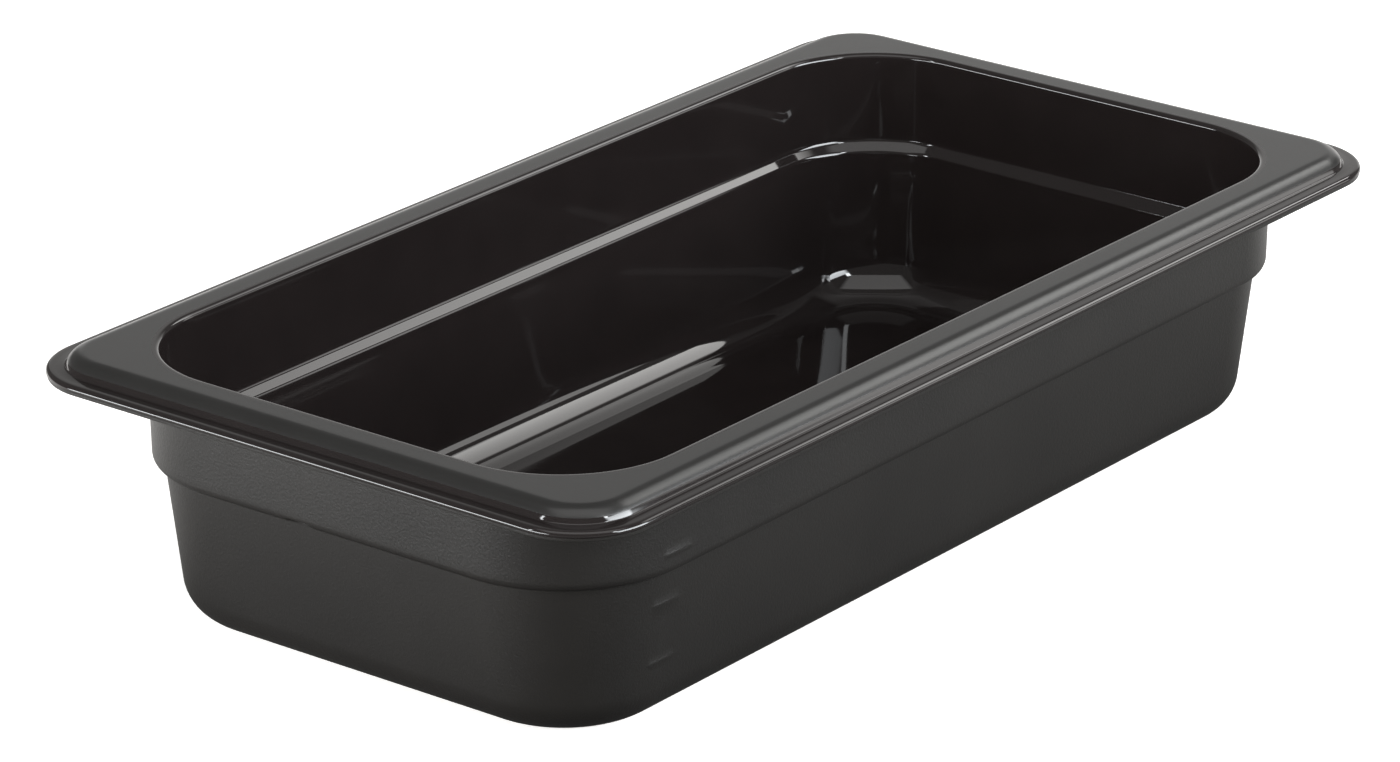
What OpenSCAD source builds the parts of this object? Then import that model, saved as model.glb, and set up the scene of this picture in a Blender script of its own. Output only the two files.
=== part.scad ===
// Shallow gastronorm 1/3 food pan, moulded in one piece.
// Millimetres, +Z up, origin at the centre of the base, X along the length.

/* [Size] */
// Length over the rim
pan_l = 325; // [300:1:360]
// Width over the rim
pan_w = 176; // [160:1:200]
// Height from the base to the top of the rim
pan_h = 68; // [64:1:110]

/* [Rim] */
// Corner radius of the lip's edge
lip_corner_r = 19.8; // [17:0.1:22]
// Thickness of the lip
lip_t = 2.4; // [1.8:0.1:3]
// Height of the bead above the lip
bead_h = 3.4; // [2.4:0.1:3.8]
// Radius of the bead's outer curve
bead_r = 5; // [4.6:0.1:5.6]
// Distance from the lip's edge to the edge of the bead's flat top
bead_inset = 9.3; // [8:0.1:9.6]
// Corner radius at the edge of the bead's flat top
bead_corner_r = 10.5; // [9:0.1:12]
// Height of the channel under the bead
channel_h = 2.6; // [1.5:0.1:2.8]

/* [Walls] */
// Distance from the lip's edge to the outside of the upper band
band_inset = 12.7; // [12.3:0.1:13.2]
// Corner radius of the upper band's outside
band_corner_r = 34; // [30:0.5:40]
// Thickness of the upper band's wall
wall_t = 3.1; // [2.8:0.1:3.4]
// Height of the stacking shoulder's lower edge above the base
shoulder_z = 39.5; // [34:0.5:42]
// How far the body steps in under the shoulder
shoulder_step = 2.9; // [2:0.1:3.4]
// Slope of the upper band's wall in degrees
band_draft = 1; // [0:0.5:1.5]
// Slope of the lower body's wall in degrees
body_draft = 6.6; // [3:0.2:7]
// Radius between the walls and the base, outside
base_r = 10.5; // [7:0.5:12]
// Thickness of the base and of the lower walls
base_t = 2.8; // [2.4:0.1:3.2]

/* [Marks] */
// Heights of the volume marks above the base
mark_z = [16, 31, 44.8]; // [12:0.2:56]
// Length of a volume mark
mark_l = 8.3; // [5:0.1:12]
// How far a volume mark stands out of the wall
mark_out = 0.2; // [0.15:0.05:0.5]

/* [Hidden] */

// Angle between two points on a rounded edge
arc_step = 15;
// Overlap and overshoot that keep unions and cuts clean
over = 1;

// Levels, from the base up
lip_bottom_z = pan_h - bead_h - lip_t;
lip_top_z = pan_h - bead_h;
ledge_rise = 1.4;
ledge_h = 3.4;
ledge_low_z = shoulder_z + ledge_rise;
ledge_high_z = ledge_low_z + ledge_h;

// The lip's rounded edge, and the step along it where the two mould halves meet
lip_edge_r = 1.1;
parting_step = 0.3;

// The bead's curve runs from its flat top down to the lip
bead_end_angle = acos(1 - bead_h / bead_r);
bead_foot = bead_r * sin(bead_end_angle);
channel_gap = 0.3;
channel_inset = bead_inset - bead_foot + channel_gap;
channel_slope = 0.6;

// Distances from the corner axis that all the walls share
band_r = band_corner_r;
band_low_r = band_r - (lip_bottom_z - shoulder_z) * tan(band_draft);
band_edge_r = 2.5;
body_r = band_low_r - shoulder_step;
body_low_r = body_r - (shoulder_z - base_r) * tan(body_draft);

// Inside of the pan, measured the same way
mouth_edge_r = 1.2;
mouth_r = band_r - wall_t;
ledge_high_r = mouth_r - (pan_h - ledge_high_z) * tan(band_draft);
ledge_low_r = body_r - base_t;
inner_base_r = base_r - base_t;
inner_low_r = ledge_low_r - (ledge_low_z - base_t - inner_base_r) * tan(body_draft);
ledge_edge_r = 1.2;

// A notch in the shoulder's edge, near the middle of each short side
notch_l = 8;
notch_h = 1.4;
notch_y = 11;
notch_depth = 1.2;

// Where the volume marks start, from the middle of the pan
mark_x = -119.5;
mark_h = 1;
mark_root = 1.6;

// Points of an arc about [cx, cz] from angle a0 to angle a1
function arc(cx, cz, r, a0, a1) =
    let (steps = max(1, ceil(abs(a1 - a0) / arc_step)))
    [for (i = [0 : steps]) let (a = a0 + (a1 - a0) * i / steps)
        [cx + r * cos(a), cz + r * sin(a)]];

// Outside wall's distance from the lip's edge at height z
function wall_inset(z) = band_inset + band_corner_r
    - (z > shoulder_z ? band_low_r + (z - shoulder_z) * tan(band_draft)
                      : body_r - (shoulder_z - z) * tan(body_draft));

// A body with straight sides and round corners. The profile holds [r, z] points, where r is the
// distance from a corner's axis. The axes stand axis_inset inside the rim's bounding rectangle.
module rounded_body(profile, axis_inset) {
    cx = pan_l / 2 - axis_inset;
    cy = pan_w / 2 - axis_inset;
    mirrored = [for (i = [len(profile) - 1 : -1 : 0]) [-profile[i][0], profile[i][1]]];

    // Middle block, as wide as the profile allows
    translate([-cx, 0, 0])
        rotate([90, 0, 90])
            linear_extrude(2 * cx)
                polygon(concat(
                    [for (p = profile) [p[0] + cy, p[1]]],
                    [for (p = mirrored) [p[0] - cy, p[1]]]
                ));

    // End blocks and corners
    for (side = [0, 180])
        rotate([0, 0, side]) {
            translate([cx, cy, 0])
                rotate([90, 0, 0])
                    linear_extrude(2 * cy)
                        polygon(profile);
            for (corner = [0, 1])
                translate([cx, corner == 0 ? cy : -cy, 0])
                    rotate([0, 0, corner == 0 ? 0 : -90])
                        rotate_extrude(angle = 90, $fn = 72)
                            polygon(profile);
        }
}

// Flat lip with a rounded upper edge and a fine parting step
module lip() {
    r = lip_corner_r;
    rounded_body(concat(
        [[0, lip_bottom_z], [r - parting_step, lip_bottom_z]],
        [[r - parting_step, lip_top_z - lip_edge_r - parting_step]],
        arc(r - lip_edge_r, lip_top_z - lip_edge_r, lip_edge_r, 0, 90),
        [[0, lip_top_z]]
    ), lip_corner_r);
}

// Raised bead with a flat top and a curved outside
module bead() {
    r = bead_corner_r;
    sunk = lip_t / 2;
    rounded_body(concat(
        [[0, lip_top_z - sunk], [r + bead_foot, lip_top_z - sunk]],
        arc(r, pan_h - bead_r, bead_r, 90 - bead_end_angle, 90),
        [[0, pan_h]]
    ), bead_inset + bead_corner_r);
}

// Channel under the bead, which keeps the rim's wall thickness even
module channel() {
    r = bead_inset + bead_corner_r - channel_inset;
    rounded_body([
        [0, lip_bottom_z - over],
        [r, lip_bottom_z - over],
        [r, lip_bottom_z],
        [r - channel_slope * channel_h, lip_bottom_z + channel_h],
        [0, lip_bottom_z + channel_h]
    ], bead_inset + bead_corner_r);
}

// Outside of the walls and the base, filled in
module body_outside() {
    rounded_body(concat(
        [[0, 0]],
        arc(body_low_r - base_r, base_r, base_r, -90, 0),
        [[body_r, shoulder_z]],
        arc(band_low_r - band_edge_r, shoulder_z + band_edge_r, band_edge_r, -60, 0),
        [[band_r, lip_bottom_z], [band_r, pan_h - over], [0, pan_h - over]]
    ), band_inset + band_corner_r);
}

// Space inside the pan, from the base to above the rim
module cavity() {
    rounded_body(concat(
        [[0, base_t]],
        arc(inner_low_r - inner_base_r, base_t + inner_base_r, inner_base_r, -90, 0),
        arc(ledge_low_r + ledge_edge_r, ledge_low_z, ledge_edge_r, 180, 135),
        arc(ledge_high_r - ledge_edge_r, ledge_high_z, ledge_edge_r, -45, 0),
        arc(mouth_r + mouth_edge_r, pan_h - mouth_edge_r, mouth_edge_r, 180, 90),
        [[mouth_r + mouth_edge_r, pan_h + over], [0, pan_h + over]]
    ), band_inset + band_corner_r);
}

// One small notch in the shoulder's lower edge on the end at x = -pan_l / 2
module shoulder_notch() {
    x = -pan_l / 2 + wall_inset(shoulder_z + notch_h);
    translate([x + notch_depth, notch_y, shoulder_z - over])
        rotate([0, -90, 0])
            linear_extrude(notch_depth + over)
                polygon([
                    [0, -notch_l / 2 - over],
                    [over + notch_h, -notch_l / 2 + notch_h],
                    [over + notch_h, notch_l / 2 - notch_h],
                    [0, notch_l / 2 + over]
                ]);
}

// Short raised bars that mark the volume, on the long side near one corner
module volume_marks() {
    for (z = mark_z)
        translate([mark_x, -pan_w / 2 + wall_inset(z) - mark_out, z - mark_h / 2])
            cube([mark_l, mark_out + mark_root, mark_h]);
}

module pan() {
    color([0.02, 0.02, 0.022])
        union() {
            difference() {
                union() {
                    difference() {
                        union() {
                            lip();
                            bead();
                        }
                        channel();
                    }
                    body_outside();
                }
                cavity();
                for (side = [0, 180])
                    rotate([0, 0, side])
                        shoulder_notch();
            }
            volume_marks();
        }
}

pan();
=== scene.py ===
import math

import bpy
import bmesh
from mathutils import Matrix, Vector


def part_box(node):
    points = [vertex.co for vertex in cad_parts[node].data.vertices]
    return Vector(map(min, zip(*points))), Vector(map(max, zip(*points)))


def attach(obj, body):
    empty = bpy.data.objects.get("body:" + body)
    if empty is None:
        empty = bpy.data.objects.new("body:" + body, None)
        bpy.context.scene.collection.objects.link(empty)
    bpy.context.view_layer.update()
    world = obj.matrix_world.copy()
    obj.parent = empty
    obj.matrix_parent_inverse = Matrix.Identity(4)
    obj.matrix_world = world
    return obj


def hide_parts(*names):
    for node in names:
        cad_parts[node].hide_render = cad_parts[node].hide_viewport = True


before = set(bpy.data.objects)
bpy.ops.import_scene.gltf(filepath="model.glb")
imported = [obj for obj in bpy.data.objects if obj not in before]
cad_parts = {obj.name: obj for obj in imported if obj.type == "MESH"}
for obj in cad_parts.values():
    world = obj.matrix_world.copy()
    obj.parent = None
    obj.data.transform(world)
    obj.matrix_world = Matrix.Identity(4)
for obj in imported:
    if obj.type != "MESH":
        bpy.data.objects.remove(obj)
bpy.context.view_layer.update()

MM = 0.001
low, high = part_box("pan")
HALF_L = (high.x - low.x) / 2 / MM
HALF_W = (high.y - low.y) / 2 / MM
TOP = (high.z - low.z) / MM

# ---------------------------------------------------------------- section of the pan, in mm
# The rim and the walls turn their corners about axes that stand this far inside the rim's outline.
LIP, BEAD, WALL = 19.8, 19.8, 46.7
# Finishes, in the order of the pan's materials
SATIN, RIM, GLOSS, POLISH, BOTTOM = 0, 1, 2, 3, 4

BODY_DRAFT_DEG = 6.6
BODY_DRAFT = math.radians(BODY_DRAFT_DEG)
BASE_R = 10.5
BODY_R = 30.7
BAND_EDGE_R = 2.5
LIP_EDGE_R = 1.1
MOUTH_R = 1.2
LEDGE_R = 2.0
FLOOR_R = 11.2
BEAD_CORNER_R = 10.5
BEAD_OUTER_R = 5.0
BEAD_FOOT_R = 0.5
# The bead is polished from its foot up to this angle of its outer curve, and satin above it.
POLISH_END_DEG = 35
LIP_TOP = TOP - 3.4
LIP_LOW = LIP_TOP - 2.4
SHOULDER = 39.5
FLOOR = 2.8
MARK_LEVELS = (16.0, 31.0, 44.8)
# Heights on a volume mark, from its middle, and how far it stands out there
MARK_ROWS = ((-0.5, 0.0), (-0.4, 0.04), (-0.28, 0.07), (0.28, 0.07), (0.4, 0.04), (0.5, 0.0))


def arc(cr, cz, radius, start, end, steps):
    """Points from angle start to angle end, in degrees, about (cr, cz)."""
    turn = [math.radians(start + (end - start) * i / steps) for i in range(steps + 1)]
    return [(cr + radius * math.cos(a), cz + radius * math.sin(a)) for a in turn]


def section():
    """Rows of the pan from the middle of its underside to the middle of its floor.
    Each row is (axis inset, distance from the corner axis, height, finish of the strip below it)."""
    rows = []

    def add(axis, points, finish):
        rows.extend((axis, r, z, finish) for r, z in points)

    lean = math.tan(BODY_DRAFT)
    fillet_end = (BODY_R - (SHOULDER - BASE_R * (1 - math.sin(BODY_DRAFT))) * lean,
                  BASE_R * (1 - math.sin(BODY_DRAFT)))
    centre = fillet_end[0] - BASE_R * math.cos(BODY_DRAFT)

    # underside, base edge and lower body
    add(WALL, [(0.0, 0.0), (6.0, 0.0), (12.0, 0.0), (centre - 0.6, 0.0)], SATIN)
    add(WALL, arc(centre, BASE_R, BASE_R, -90, -math.degrees(BODY_DRAFT), 14), SATIN)
    levels = sorted([12.5, 14.2, 18.5, 23.0, 27.0, 34.0, 37.0, 38.6]
                    + [m + d for m in MARK_LEVELS[:2] for d, _ in MARK_ROWS])
    add(WALL, [(BODY_R - (SHOULDER - z) * lean, z) for z in levels], SATIN)

    # stacking shoulder: a tight inner corner, then the band's rounded lower edge
    add(WALL, [(30.64, 39.0), (30.70, 39.24), (30.83, 39.41), (31.02, 39.49)], SATIN)
    add(WALL, arc(31.1, SHOULDER + BAND_EDGE_R, BAND_EDGE_R, -90, -1, 12), SATIN)
    band = (lambda z: 33.6 + (z - 42.0) * 0.4 / 20.2)
    levels = sorted([43.4, 47.5, 52.0, 57.0, 61.0, 63.4, 64.2]
                    + [MARK_LEVELS[2] + d for d, _ in MARK_ROWS])
    add(WALL, [(band(z), z) for z in levels], SATIN)
    add(WALL, arc(band(64.8) + 0.5, LIP_LOW + 2.1, 0.5, 180, 90, 4), SATIN)

    # channel under the bead and the underside of the lip
    add(BEAD, arc(12.9, LIP_LOW + 2.1, 0.5, 90, 31, 4), SATIN)
    add(BEAD, arc(15.1, LIP_LOW + 0.25, 0.25, 211, 270, 3), SATIN)
    add(LIP, arc(19.25, LIP_LOW + 0.25, 0.25, -90, 0, 4), SATIN)

    # edge of the lip: lower strip, parting step, rounded upper edge
    step_z = LIP_TOP - LIP_EDGE_R
    add(LIP, [(19.5, LIP_LOW + 0.6), (19.5, step_z - 0.42)], SATIN)
    add(LIP, [(19.53, step_z - 0.34), (19.62, step_z - 0.26), (19.74, step_z - 0.16),
              (19.79, step_z - 0.08)], POLISH)
    add(LIP, arc(18.7, step_z, LIP_EDGE_R, 0, 90, 10), POLISH)
    add(LIP, [(17.9, LIP_TOP)], POLISH)

    # bead: small concave foot, outer curve, flat top
    bead_z = TOP - BEAD_OUTER_R
    foot_rise = 2.1  # from the outer curve's centre up to the foot's
    foot_x = BEAD_CORNER_R + math.sqrt((BEAD_OUTER_R + BEAD_FOOT_R) ** 2 - foot_rise ** 2)
    foot_angle = math.degrees(math.atan2(foot_rise, foot_x - BEAD_CORNER_R))
    add(BEAD, arc(foot_x, LIP_TOP + BEAD_FOOT_R, BEAD_FOOT_R, -90, -180 + foot_angle, 5), POLISH)
    add(BEAD, arc(BEAD_CORNER_R, bead_z, BEAD_OUTER_R, foot_angle, POLISH_END_DEG, 6)[1:], POLISH)
    add(BEAD, arc(BEAD_CORNER_R, bead_z, BEAD_OUTER_R, POLISH_END_DEG, 90, 18)[1:], RIM)
    add(BEAD, [(BEAD_CORNER_R - 0.8, TOP)], RIM)
    add(WALL, [(32.9, TOP)], RIM)
    add(WALL, arc(32.1, TOP - MOUTH_R, MOUTH_R, 90, 179, 10), GLOSS)

    # inside: upper band, ledge, lower wall, floor fillet, floor
    inner_band = (lambda z: 30.9 - (TOP - MOUTH_R - z) * 0.41 / 22.5)
    add(WALL, [(inner_band(z), z) for z in (65.5, 61.0, 56.0, 51.0, 47.0, 45.2)], GLOSS)
    add(WALL, arc(28.49, 44.6, LEDGE_R, -1, -45, 8), GLOSS)
    add(WALL, arc(29.9, 40.6, LEDGE_R, 135, 180 + BODY_DRAFT_DEG, 9), GLOSS)
    inner_end = (27.9 - (40.9 - (FLOOR + FLOOR_R * (1 - math.sin(BODY_DRAFT)))) * lean,
                 FLOOR + FLOOR_R * (1 - math.sin(BODY_DRAFT)))
    centre = inner_end[0] - FLOOR_R * math.cos(BODY_DRAFT)
    add(WALL, [(27.9 - (40.9 - z) * lean, z) for z in (39.0, 33.0, 27.0, 21.0, 16.5)], GLOSS)
    add(WALL, arc(centre, FLOOR + FLOOR_R, FLOOR_R, -BODY_DRAFT_DEG, -90, 16), GLOSS)
    add(WALL, [(centre - 0.8, FLOOR), (centre - 1.6, FLOOR), (5.0, FLOOR), (0.0, FLOOR)], BOTTOM)
    return rows


# ---------------------------------------------------------------- stations around the pan
CORNER_STEPS = 28
# Rows of the outside that lie farther from the corner axis than this are walls, not underside
WALL_MIN_R = 20
# Ends of a volume mark: along the long side, and in degrees round the corner
MARK_X = (-111.35, -111.05)
MARK_TURN = (261.6, 262.4)
# Stops across a notch
NOTCH_Y = (6.6, 7.0, 8.4, 13.4, 14.6, 15.2)


def stations():
    """Stops around every row, counter-clockwise: ("c", corner, angle) in a corner, or
    ("x" or "y", side's sign, place between the corner axes from -1 to 1) along a side."""
    ax, ay = HALF_L - WALL, HALF_W - WALL
    xs = [ax * i / 16 for i in range(-15, 16)] + [s * m for m in MARK_X for s in (1, -1)]
    ys = [ay * i / 8 for i in range(-7, 8)] + [s * n for n in NOTCH_Y for s in (1, -1)]
    xs, ys = sorted(xs), sorted(ys)
    stops = []
    for quarter in range(4):
        turns = [quarter * 90 + 90 * i / CORNER_STEPS for i in range(CORNER_STEPS + 1)]
        if quarter == 2:
            turns = sorted(turns + list(MARK_TURN))
        stops += [("c", quarter, t) for t in turns]
        if quarter == 0:
            stops += [("x", 1, x / ax) for x in reversed(xs)]
        elif quarter == 1:
            stops += [("y", -1, y / ay) for y in reversed(ys)]
        elif quarter == 2:
            stops += [("x", -1, x / ax) for x in xs]
        else:
            stops += [("y", 1, y / ay) for y in ys]
    return stops, xs, ys


SIGNS = ((1, 1), (-1, 1), (-1, -1), (1, -1))


def place(stop, axis, r, z):
    """Point of a row at a stop, and the outward direction there."""
    ax, ay = HALF_L - axis, HALF_W - axis
    kind, which, where = stop
    if kind == "c":
        a = math.radians(where)
        out = (math.cos(a), math.sin(a))
        sx, sy = SIGNS[which]
        return [sx * ax + r * out[0], sy * ay + r * out[1], z], out
    if kind == "x":
        return [where * ax, which * (ay + r), z], (0, which)
    return [which * (ax + r), where * ay, z], (which, 0)


def mark_relief(stop, z):
    """How far a volume mark stands out at this place."""
    kind, which, where = stop
    x = where * (HALF_L - WALL) if kind == "x" else 0
    inside = ((kind == "x" and which == -1 and x < MARK_X[0] + 0.01)
              or (kind == "c" and which == 2 and where > MARK_TURN[1] - 0.01))
    if not inside:
        return 0.0
    for level in MARK_LEVELS:
        for d, out in MARK_ROWS:
            if abs(z - level - d) < 1e-6:
                return out
    return 0.0


def notch_relief(stop, r, z):
    """The shoulder's edge is cut back in a short notch near the middle of each short side."""
    kind, which, where = stop
    if kind != "y" or not 38.5 < z < 42.5:
        return 0.0
    y = -which * where * (HALF_W - WALL)
    if y <= NOTCH_Y[0] + 0.01 or y >= NOTCH_Y[5] - 0.01:
        return 0.0
    side = min((y - NOTCH_Y[0]) / (NOTCH_Y[2] - NOTCH_Y[0]),
               (NOTCH_Y[5] - y) / (NOTCH_Y[5] - NOTCH_Y[3]), 1.0)
    roof = 39.3 + 1.2 * side
    if z > roof + 0.5:
        return 0.0
    keep = 31.4 + max(0.0, z - roof) * 5.0
    return min(0.0, keep - r) * min(1.0, side * 1.5)


def build_pan():
    rows = section()
    stops, xs, ys = stations()
    count = len(stops)
    mesh = bpy.data.meshes.new("pan_moulding")
    verts, faces, finish = [], [], []
    inside_from = next(i for i, row in enumerate(rows) if row[3] == GLOSS)
    for i, (axis, r, z, _) in enumerate(rows):
        outer_wall = i < inside_from and axis == WALL and z < LIP_LOW and r > WALL_MIN_R
        for stop in stops:
            p, out = place(stop, axis, r, z)
            push = 0.0
            if outer_wall:
                push = mark_relief(stop, z) + notch_relief(stop, r, z)
            verts.append(((p[0] + out[0] * push) * MM, (p[1] + out[1] * push) * MM, p[2] * MM))
    for i in range(len(rows) - 1):
        for j in range(count):
            k = (j + 1) % count
            faces.append((i * count + j, i * count + k, (i + 1) * count + k, (i + 1) * count + j))
            finish.append(rows[i + 1][3])

    # the two flat middles, as grids between the corner axes
    ax, ay = HALF_L - WALL, HALF_W - WALL
    gx, gy = [-ax] + xs + [ax], [-ay] + ys + [ay]
    for z, up, what in ((0.0, False, SATIN), (FLOOR, True, BOTTOM)):
        start = len(verts)
        verts += [(x * MM, y * MM, z * MM) for y in gy for x in gx]
        for j in range(len(gy) - 1):
            for i in range(len(gx) - 1):
                a = start + j * len(gx) + i
                quad = (a, a + 1, a + 1 + len(gx), a + len(gx))
                faces.append(quad if up else quad[::-1])
                finish.append(what)
    mesh.from_pydata(verts, [], faces)
    for polygon, what in zip(mesh.polygons, finish):
        polygon.material_index = what
        polygon.use_smooth = True
    work = bmesh.new()
    work.from_mesh(mesh)
    bmesh.ops.remove_doubles(work, verts=work.verts, dist=2e-6)
    bmesh.ops.recalc_face_normals(work, faces=work.faces)
    work.to_mesh(mesh)
    work.free()
    return mesh


# ---------------------------------------------------------------- materials
def shader(name, base, roughness, ior=1.585):
    material = bpy.data.materials.new(name)
    material.use_nodes = True
    nodes, links = material.node_tree.nodes, material.node_tree.links
    bsdf = next(n for n in nodes if n.type == "BSDF_PRINCIPLED")
    bsdf.inputs["Base Color"].default_value = (*base, 1)
    bsdf.inputs["Roughness"].default_value = roughness
    bsdf.inputs["IOR"].default_value = ior
    coords = nodes.new("ShaderNodeTexCoord")
    return material, nodes, links, bsdf, coords.outputs["Object"]


def noise(nodes, links, vector, scale, detail=2.0, roughness=0.5):
    texture = nodes.new("ShaderNodeTexNoise")
    texture.inputs["Scale"].default_value = scale
    texture.inputs["Detail"].default_value = detail
    texture.inputs["Roughness"].default_value = roughness
    links.new(vector, texture.inputs["Vector"])
    return texture.outputs["Fac"]


def spread(nodes, links, value, low, high, from_low=0.3, from_high=0.7):
    remap = nodes.new("ShaderNodeMapRange")
    remap.inputs["From Min"].default_value = from_low
    remap.inputs["From Max"].default_value = from_high
    remap.inputs["To Min"].default_value = low
    remap.inputs["To Max"].default_value = high
    links.new(value, remap.inputs["Value"])
    return remap.outputs["Result"]


def tint(nodes, links, value, dark, light):
    ramp = nodes.new("ShaderNodeValToRGB")
    ramp.color_ramp.elements[0].position = 0.3
    ramp.color_ramp.elements[0].color = (*dark, 1)
    ramp.color_ramp.elements[1].position = 0.7
    ramp.color_ramp.elements[1].color = (*light, 1)
    links.new(value, ramp.inputs["Fac"])
    return ramp.outputs["Color"]


def bump(nodes, links, height, distance, strength):
    node = nodes.new("ShaderNodeBump")
    node.inputs["Strength"].default_value = strength
    node.inputs["Distance"].default_value = distance
    links.new(height, node.inputs["Height"])
    return node.outputs["Normal"]


def satin_material():
    """Outside walls: spark-eroded texture, a fine even grain."""
    material, nodes, links, bsdf, at = shader("pan_satin_outside", (0.0115, 0.0105, 0.0095), 0.42)
    grain = noise(nodes, links, at, 1500.0, 2.0, 0.6)
    cloud = noise(nodes, links, at, 45.0, 3.0)
    links.new(tint(nodes, links, cloud, (0.0102, 0.0093, 0.0085), (0.0132, 0.0121, 0.0109)),
              bsdf.inputs["Base Color"])
    links.new(spread(nodes, links, grain, 0.38, 0.46), bsdf.inputs["Roughness"])
    links.new(bump(nodes, links, grain, 0.00012, 0.6), bsdf.inputs["Normal"])
    return material


def rim_material():
    """Rim: smoother than the walls, with a faint grain."""
    material, nodes, links, bsdf, at = shader("pan_rim", (0.015, 0.0147, 0.0138), 0.27)
    grain = noise(nodes, links, at, 1800.0, 2.0, 0.6)
    cloud = noise(nodes, links, at, 60.0, 3.0)
    links.new(tint(nodes, links, cloud, (0.0122, 0.012, 0.0115), (0.0145, 0.0142, 0.0136)),
              bsdf.inputs["Base Color"])
    links.new(spread(nodes, links, grain, 0.28, 0.31), bsdf.inputs["Roughness"])
    links.new(bump(nodes, links, grain, 0.00001, 0.15), bsdf.inputs["Normal"])
    return material


def gloss_material(name, low, high, wavy, ior=1.585):
    """Glossy faces, with the slight waviness of a moulding: the inside, the inner floor, and the
    rim's polished foot and lip."""
    material, nodes, links, bsdf, at = shader(name, (0.009, 0.0072, 0.007), (low + high) / 2, ior)
    wave = noise(nodes, links, at, 9.0, 1.0)
    haze = noise(nodes, links, at, 70.0, 4.0, 0.6)
    links.new(tint(nodes, links, haze, (0.0108, 0.0086, 0.0084), (0.0132, 0.0105, 0.0102)),
              bsdf.inputs["Base Color"])
    links.new(spread(nodes, links, haze, low, high), bsdf.inputs["Roughness"])
    links.new(bump(nodes, links, wave, wavy, 0.3), bsdf.inputs["Normal"])
    return material


def calc(nodes, links, operation, *values):
    node = nodes.new("ShaderNodeMath")
    node.operation = operation
    for socket, value in zip(node.inputs, values):
        if isinstance(value, (int, float)):
            socket.default_value = value
        else:
            links.new(value, socket)
    return node.outputs["Value"]


# The glow carries a painted contact shadow, dimmest over this rectangle under the pan, and painted
# shade that dims it toward this heading (m, degrees)
PAINTED_SHADOW_HALF_L, PAINTED_SHADOW_HALF_W, PAINTED_SHADE_DEG = 0.14, 0.065, 252


def floor_material():
    """Pale floor. The camera sees it plain. Reflections and bounced light see a glow instead, with a
    painted contact shadow that dims it close to the pan and painted shade that dims it toward the
    heading above."""
    material, nodes, links, bsdf, at = shader("studio_floor", (0.8, 0.8, 0.8), 0.9)
    bsdf.inputs["Emission Color"].default_value = (1.0, 0.985, 0.96, 1)
    bsdf.inputs["Emission Strength"].default_value = 0.75
    split = nodes.new("ShaderNodeSeparateXYZ")
    links.new(at, split.inputs["Vector"])
    x, y = split.outputs["X"], split.outputs["Y"]
    over_x = calc(nodes, links, "SUBTRACT", calc(nodes, links, "ABSOLUTE", x), PAINTED_SHADOW_HALF_L)
    over_y = calc(nodes, links, "SUBTRACT", calc(nodes, links, "ABSOLUTE", y), PAINTED_SHADOW_HALF_W)
    gap = calc(nodes, links, "MAXIMUM", calc(nodes, links, "MAXIMUM", over_x, over_y), 0.0)
    # painted contact shadow: the glow falls to 0.12 at the pan's footprint and is full 0.2 m away
    # from it
    painted_contact_shadow = spread(nodes, links, gap, 0.12, 1.0, 0.0, 0.2)
    shade = math.radians(PAINTED_SHADE_DEG)
    along = calc(nodes, links, "ADD", calc(nodes, links, "MULTIPLY", x, math.cos(shade)),
                 calc(nodes, links, "MULTIPLY", y, math.sin(shade)))
    # painted shade: the glow runs from 1.7 on the far side down to 0.4 toward the dim heading
    side = spread(nodes, links, along, 1.7, 0.4, -0.14, 0.16)
    glow = nodes.new("ShaderNodeEmission")
    glow.inputs["Color"].default_value = (1.0, 0.985, 0.96, 1)
    links.new(calc(nodes, links, "MULTIPLY", painted_contact_shadow, side), glow.inputs["Strength"])
    path = nodes.new("ShaderNodeLightPath")
    mix = nodes.new("ShaderNodeMixShader")
    links.new(calc(nodes, links, "SUBTRACT", 1.0, path.outputs["Is Camera Ray"]), mix.inputs["Fac"])
    links.new(bsdf.outputs["BSDF"], mix.inputs[1])
    links.new(glow.outputs["Emission"], mix.inputs[2])
    end = next(n for n in nodes if n.type == "OUTPUT_MATERIAL")
    links.new(mix.outputs["Shader"], end.inputs["Surface"])
    return material


# ---------------------------------------------------------------- the pan
pan = bpy.data.objects.new("pan_moulding", build_pan())
bpy.context.scene.collection.objects.link(pan)
for material in (satin_material(), rim_material(),
                 gloss_material("pan_gloss_inside", 0.03, 0.06, 0.0006),
                 gloss_material("pan_polished_lip", 0.05, 0.08, 0.0001),
                 gloss_material("pan_gloss_floor", 0.04, 0.07, 0.0004, 1.22)):
    pan.data.materials.append(material)
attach(pan, "root")
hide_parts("pan")

# ---------------------------------------------------------------- studio
FLOOR_SIZE, FLOOR_GAP = 12, 0.0002
bpy.ops.mesh.primitive_plane_add(size=FLOOR_SIZE)
floor = bpy.context.object
floor.name = "studio_floor"
floor.location.z = -FLOOR_GAP
floor.data.materials.append(floor_material())


PANEL_AIM = Vector((0, 0, 0.04))


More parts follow.
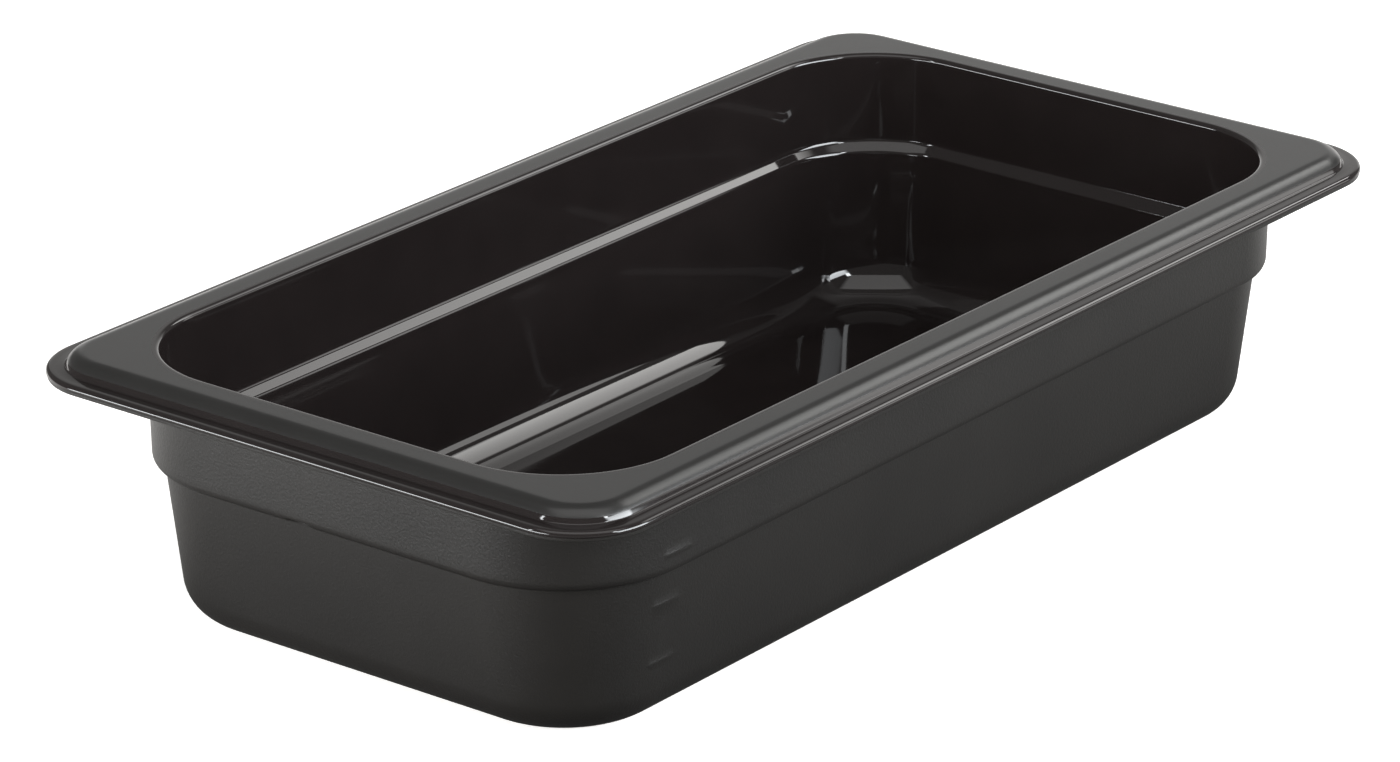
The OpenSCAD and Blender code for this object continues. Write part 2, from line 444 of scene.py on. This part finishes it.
def soft_panel(name, heading, elevation, distance, width, height, radiance, color,
               top=1.0, edge=0.12):
    """A glowing rectangular panel, heading and elevation in degrees as seen from the pan.
    Its light fades to top times its radiance at the upper edge, and to nothing at the sides, over
    edge times its width. The camera doesn't see it."""
    a, e = math.radians(heading), math.radians(elevation)
    away = Vector((math.cos(a) * math.cos(e), math.sin(a) * math.cos(e), math.sin(e)))
    mesh = bpy.data.meshes.new(name)
    w, h = width / 2, height / 2
    mesh.from_pydata([(-w, -h, 0), (w, -h, 0), (w, h, 0), (-w, h, 0)], [], [(0, 1, 2, 3)])
    panel = bpy.data.objects.new(name, mesh)
    panel.location = PANEL_AIM + away * distance
    panel.rotation_euler = away.to_track_quat("Z", "Y").to_euler()
    bpy.context.scene.collection.objects.link(panel)
    panel.visible_camera = False
    material = bpy.data.materials.new(name)
    material.use_nodes = True
    nodes, links = material.node_tree.nodes, material.node_tree.links
    nodes.clear()
    coords = nodes.new("ShaderNodeTexCoord")
    split = nodes.new("ShaderNodeSeparateXYZ")
    links.new(coords.outputs["Object"], split.inputs["Vector"])
    fall = spread(nodes, links, split.outputs["Y"], 1.0, top, -h, h)
    across = calc(nodes, links, "ABSOLUTE", split.outputs["X"])
    side = spread(nodes, links, across, 1.0, 0.0, w * (1 - 2 * edge), w)
    glow = nodes.new("ShaderNodeEmission")
    glow.inputs["Color"].default_value = (*color, 1)
    strength = calc(nodes, links, "MULTIPLY", calc(nodes, links, "MULTIPLY", fall, side), radiance)
    links.new(strength, glow.inputs["Strength"])
    end = nodes.new("ShaderNodeOutputMaterial")
    links.new(glow.outputs["Emission"], end.inputs["Surface"])
    mesh.materials.append(material)
    return panel


soft_panel("right_soft_box", -15, 43, 1.3, 0.75, 0.5, 6.0, (1.0, 0.99, 0.97), top=0.08, edge=0.12)
soft_panel("back_wall", 33, 15, 2.2, 2.4, 1.1, 1.5, (1.0, 0.99, 0.97), top=0.15)
soft_panel("front_soft_box", 286, 24, 1.4, 1.3, 0.6, 16.0, (0.93, 0.97, 1.0), top=0.6, edge=0.12)
soft_panel("right_low_box", 321, 15, 1.4, 0.4, 0.5, 2.4, (1.0, 0.99, 0.97), edge=0.2)
soft_panel("front_window", 262, 37, 1.4, 0.14, 0.2, 20.0, (0.95, 0.98, 1.0))
soft_panel("left_soft_box", 158, 5, 1.4, 1.3, 0.24, 16.0, (0.95, 0.98, 1.0))
soft_panel("left_window", 156, 24, 1.4, 0.1, 0.3, 16.0, (0.95, 0.98, 1.0))
soft_panel("overhead", 218, 70, 1.2, 1.7, 1.0, 1.2, (1.0, 0.99, 0.98), edge=0.1)
fill = soft_panel("left_fill", 176, 14, 1.4, 1.2, 0.6, 7.5, (1.0, 0.98, 0.96))
fill.visible_glossy = False  # it lights the pan without showing in its gloss

world = bpy.data.worlds.new("studio")
bpy.context.scene.world = world
world.use_nodes = True
nodes, links = world.node_tree.nodes, world.node_tree.links
nodes.clear()
output = nodes.new("ShaderNodeOutputWorld")
dim = nodes.new("ShaderNodeBackground")
dim.inputs["Color"].default_value = (1.0, 0.98, 0.96, 1)
dim.inputs["Strength"].default_value = 0.19
white = nodes.new("ShaderNodeBackground")
white.inputs["Color"].default_value = (1, 1, 1, 1)
white.inputs["Strength"].default_value = 1.0
path = nodes.new("ShaderNodeLightPath")
mix = nodes.new("ShaderNodeMixShader")
links.new(path.outputs["Is Camera Ray"], mix.inputs["Fac"])
links.new(dim.outputs["Background"], mix.inputs[1])
links.new(white.outputs["Background"], mix.inputs[2])
links.new(mix.outputs["Shader"], output.inputs["Surface"])

# ---------------------------------------------------------------- camera
AZIMUTH, ELEVATION = math.radians(-52.19), math.radians(20.8)
TARGET, DISTANCE = Vector((0, 0, 0.05)), 1.572
camera_data = bpy.data.cameras.new("camera")
camera_data.sensor_fit = "HORIZONTAL"
camera_data.sensor_width = 36
camera_data.lens = 164.06
camera_data.shift_x = -0.0221
camera_data.shift_y = -0.0481
camera = bpy.data.objects.new("camera", camera_data)
back = Vector((math.sin(AZIMUTH) * math.cos(ELEVATION),
               -math.cos(AZIMUTH) * math.cos(ELEVATION),
               math.sin(ELEVATION)))
camera.location = TARGET + back * DISTANCE
camera.rotation_euler = back.to_track_quat("Z", "Y").to_euler()
bpy.context.scene.collection.objects.link(camera)
bpy.context.scene.camera = camera
bpy.context.scene.view_settings.view_transform = "Standard"
